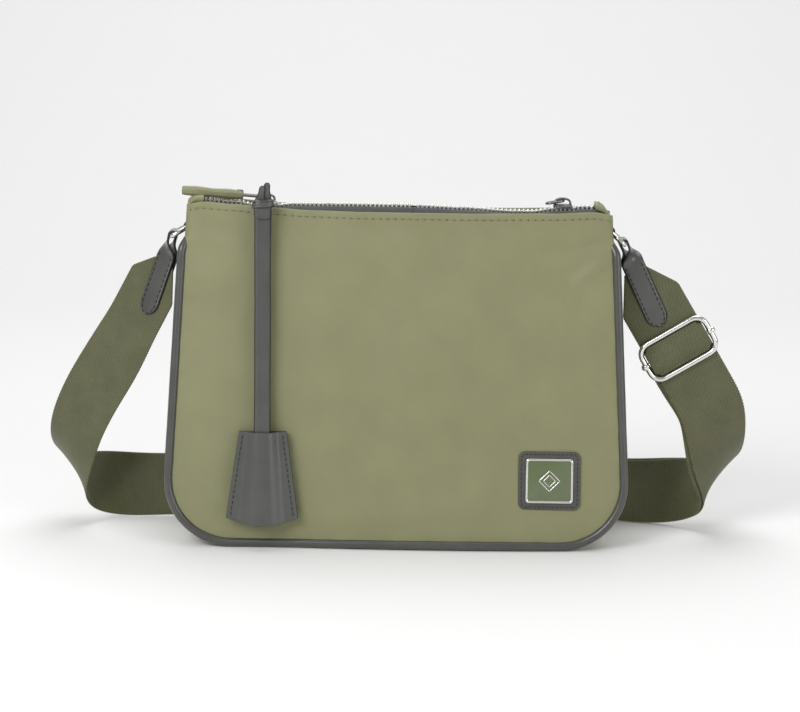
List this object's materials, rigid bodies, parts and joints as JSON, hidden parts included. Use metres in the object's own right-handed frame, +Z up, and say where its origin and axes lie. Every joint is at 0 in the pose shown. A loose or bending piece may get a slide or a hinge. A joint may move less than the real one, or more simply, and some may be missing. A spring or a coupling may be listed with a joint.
{
  "type": "crossbody purse",
  "caption": "Crossbody purse: nylon pouch with piped edges, top zip, hanging leather fob, corner badge, D-rings, and an adjustable webbing shoulder strap laid behind it.",
  "frame": {"origin": "on the ground, under the middle of the purse with its strap laid behind it", "axes": "+X to the viewer's right, +Y to the back, +Z up; the front panel faces -Y"},
  "size_m": [0.4301, 0.0928, 0.223],
  "materials": {
    "nylon": "smooth matt-satin nylon",
    "piping": "smooth dark grey synthetic leather",
    "lining": "plain woven lining",
    "board": "stiff insert board",
    "zip_tape": "knitted zip tape",
    "zip_teeth": "bright metallised teeth",
    "zip_slider": "dark nickel",
    "pull": "satin moulded",
    "leather": "smooth leather with painted edges",
    "bright_wire": "polished nickel",
    "webbing": "twill-woven webbing",
    "badge_leather": "smooth leather, stitched",
    "badge_enamel": "satin enamel"
  },
  "bodies": {
    "bag": {"front_panel": "nylon", "back_panel": "nylon", "gusset": "nylon", "front_piping": "piping", "back_piping": "piping", "front_lining": "lining", "back_lining": "lining", "gusset_lining": "lining", "base_board": "board", "slip_pocket": "lining", "left_end_tapes": "zip_tape", "right_end_tapes": "zip_tape", "left_end_teeth": "zip_teeth", "right_end_teeth": "zip_teeth", "left_zip_end_tab": "nylon", "right_zip_end_tab": "nylon", "left_anchor_loop": "leather", "right_anchor_loop": "leather", "left_anchor_patch": "leather", "right_anchor_patch": "leather", "badge_patch": "badge_leather", "badge_frame": "bright_wire", "badge_plate": "badge_enamel"},
    "front_flap": {"front_zip_tape": "zip_tape", "front_zip_teeth": "zip_teeth"},
    "rear_flap": {"rear_zip_tape": "zip_tape", "rear_zip_teeth": "zip_teeth"},
    "left_slider": {"left_zip_slider": "zip_slider", "left_slider_bridge": "zip_slider", "fob_lug": "zip_slider"},
    "left_pull": {"left_pull_link": "zip_slider", "left_pull_tab": "pull"},
    "fob": {"fob_ring": "bright_wire", "fob_knot": "leather", "fob_strap": "leather", "fob_stop": "leather"},
    "bell": {"bell_front": "leather", "bell_back": "leather"},
    "right_slider": {"right_zip_slider": "zip_slider", "right_slider_bridge": "zip_slider"},
    "right_pull": {"right_pull_ring": "zip_slider"},
    "strap": {"left_d_ring": "bright_wire", "right_d_ring": "bright_wire", "left_leather_tab": "leather", "right_leather_tab": "leather", "short_webbing": "webbing", "long_webbing": "webbing", "strap_ring": "bright_wire"},
    "strap_slider": {"strap_slider_frame": "bright_wire", "strap_slider_bar": "bright_wire", "strap_slider_web": "webbing"}
  },
  "joints": [
    {"name": "strap_swing", "type": "hinge", "parent": "bag", "child": "strap", "pos_m": [0, 0, 0.19], "axis": [1, 0, 0], "range_deg": [0, 165], "deforming": ["left_anchor_loop", "right_anchor_loop"]},
    {"name": "strap_slider_slide", "type": "slide", "parent": "strap", "child": "strap_slider", "axis": [0.515, 0, -0.8572], "range_m": [0, 0.026]},
    {"name": "left_zip_slide", "type": "slide", "parent": "bag", "child": "left_slider", "axis": [-1, 0, 0], "range_m": [-0.076, 0]},
    {"name": "left_pull_tilt", "type": "hinge", "parent": "left_slider", "child": "left_pull", "pos_m": [-0.08, 0, 0.2079], "axis": [0, 1, 0], "range_deg": [0, 150]},
    {"name": "fob_swing", "type": "hinge", "parent": "left_slider", "child": "fob", "pos_m": [-0.08, -0.0069, 0.206], "axis": [-1, 0, 0], "range_deg": [0, 75]},
    {"name": "bell_slide", "type": "slide", "parent": "fob", "child": "bell", "axis": [0, 0.1029, 0.9947], "range_m": [0, 0.045]},
    {"name": "right_zip_slide", "type": "slide", "parent": "bag", "child": "right_slider", "axis": [1, 0, 0], "range_m": [-0.078, 0]},
    {"name": "right_pull_tilt", "type": "hinge", "parent": "right_slider", "child": "right_pull", "pos_m": [0.098, 0, 0.2079], "axis": [0, 1, 0], "range_deg": [0, 160]},
    {"name": "front_flap_open", "type": "hinge", "parent": "bag", "child": "front_flap", "pos_m": [0.008, -0.0128, 0.2026], "axis": [1, 0, 0], "range_deg": [0, 85]},
    {"name": "rear_flap_open", "type": "hinge", "parent": "bag", "child": "rear_flap", "pos_m": [0.008, 0.0128, 0.2026], "axis": [-1, 0, 0], "range_deg": [0, 85]}
  ]
}
